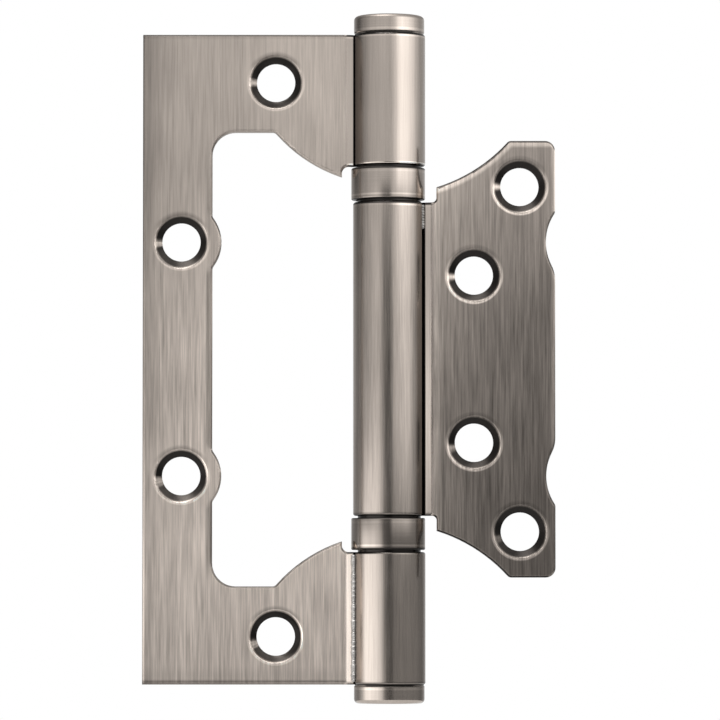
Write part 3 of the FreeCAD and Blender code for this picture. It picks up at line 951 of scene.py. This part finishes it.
def make_tent(stage):
    """A round wall that only reflections see."""
    mesh = bpy.data.meshes.new("studio_tent")
    work = bmesh.new()
    rings = []
    for height in (-stage.floor_depth, stage.tent_top):
        rings.append([work.verts.new((stage.tent_radius * math.sin(2 * math.pi * side / TENT_SIDES),
                                      -stage.tent_radius * math.cos(2 * math.pi * side / TENT_SIDES),
                                      height))
                      for side in range(TENT_SIDES)])
    for side in range(TENT_SIDES):
        after = (side + 1) % TENT_SIDES
        work.faces.new((rings[0][side], rings[0][after], rings[1][after], rings[1][side]))
    work.to_mesh(mesh)
    work.free()
    mesh.materials.append(tent_material())
    tent = bpy.data.objects.new("studio_tent", mesh)
    bpy.context.scene.collection.objects.link(tent)
    tent.visible_camera = False
    tent.visible_diffuse = False
    tent.visible_transmission = False
    tent.visible_volume_scatter = False
    tent.visible_shadow = False


def make_floor(stage):
    """A pale floor that keeps the hinge's shadow."""
    half = stage.floor_size / 2
    mesh = bpy.data.meshes.new("studio_floor")
    corners = [(x, y, -stage.floor_depth)
               for x, y in ((-half, -half), (half, -half), (half, half), (-half, half))]
    mesh.from_pydata(corners, [], [(0, 1, 2, 3)])
    surface = Surface("pale floor")
    shader = surface.place.node("ShaderNodeBsdfDiffuse", None, {"Color": opaque(stage.floor_colour)})
    shader.node("ShaderNodeOutputMaterial", None, {"Surface": shader})
    mesh.materials.append(surface.material)
    floor = bpy.data.objects.new("studio_floor", mesh)
    bpy.context.scene.collection.objects.link(floor)


def make_world(stage):
    """White to the camera, in reflections and through glass, and a plain soft level for the rest."""
    world = bpy.data.worlds.new("studio")
    world.use_nodes = True
    tree = world.node_tree
    tree.nodes.clear()
    rays = [Shade.added(tree, "ShaderNodeLightPath", output=name)
            for name in ("Is Camera Ray", "Is Glossy Ray", "Is Transmission Ray")]
    white = rays[0].most(rays[1]).most(rays[2])
    strength = stage.world_level + white * (1.0 - stage.world_level)
    light = strength.node("ShaderNodeBackground", None, {"Color": opaque(WHITE), "Strength": strength})
    light.node("ShaderNodeOutputWorld", None, {"Surface": light})
    bpy.context.scene.world = world


def make_lamp(stage):
    """One soft lamp overhead."""
    data = bpy.data.lights.new("overhead_lamp", "AREA")
    data.shape = "DISK"
    data.size = stage.lamp_size
    data.energy = stage.lamp_watts
    lamp = bpy.data.objects.new("overhead_lamp", data)
    lamp.location = LAMP_PLACE
    lamp.rotation_euler = LAMP_TURN
    lamp.visible_camera = False
    bpy.context.scene.collection.objects.link(lamp)


def make_camera(stage):
    """The camera stands a little below mid height, straight in front of the leaves."""
    data = bpy.data.cameras.new("camera")
    data.sensor_width = SENSOR_WIDTH
    data.lens = data.sensor_width * stage.camera_distance / stage.picture_width
    camera = bpy.data.objects.new("camera", data)
    camera.location = (stage.picture_centre, -stage.camera_distance, stage.camera_height)
    tilt = math.atan2(stage.aim_height - stage.camera_height, stage.camera_distance)
    camera.rotation_euler = (math.pi / 2 + tilt, 0.0, 0.0)
    bpy.context.scene.collection.objects.link(camera)
    bpy.context.scene.camera = camera


class HINGE_OT_set_stage(bpy.types.Operator):
    """Sets the floor, the light and the camera"""
    bl_idname = "hinge.set_stage"
    bl_label = "Set stage"

    def execute(self, context):
        stage = context.scene.hinge_stage
        make_world(stage)
        make_floor(stage)
        make_tent(stage)
        make_lamp(stage)
        make_camera(stage)
        context.scene.view_settings.view_transform = "Standard"
        return {"FINISHED"}


OPERATORS = (
    HINGE_OT_finish_leaves,
    HINGE_OT_finish_bearings,
    HINGE_OT_turn_caps,
    HINGE_OT_roll_shells,
    HINGE_OT_lay_welds,
    HINGE_OT_set_stage,
)
GROUPS = {"hinge_finish": HingeFinish, "hinge_turning": HingeTurning, "hinge_stage": HingeStage}


class HINGE_PT_panel(bpy.types.Panel):
    bl_idname = "HINGE_PT_panel"
    bl_label = "Flush hinge"
    bl_space_type = "VIEW_3D"
    bl_region_type = "UI"
    bl_category = "Hinge"

    def draw(self, context):
        for operator in OPERATORS:
            self.layout.operator(operator.bl_idname)
        for name, group in GROUPS.items():
            for field in group.__annotations__:
                self.layout.prop(getattr(context.scene, name), field)


CLASSES = (*GROUPS.values(), *OPERATORS, HINGE_PT_panel)


def register():
    for item in CLASSES:
        bpy.utils.register_class(item)
    for name, group in GROUPS.items():
        setattr(bpy.types.Scene, name, bpy.props.PointerProperty(type=group))


def unregister():
    for name in GROUPS:
        delattr(bpy.types.Scene, name)
    for item in reversed(CLASSES):
        bpy.utils.unregister_class(item)


def main():
    register()
    for operator in OPERATORS:
        group, name = operator.bl_idname.split(".")
        getattr(getattr(bpy.ops, group), name)()


if __name__ == "__main__":
    main()
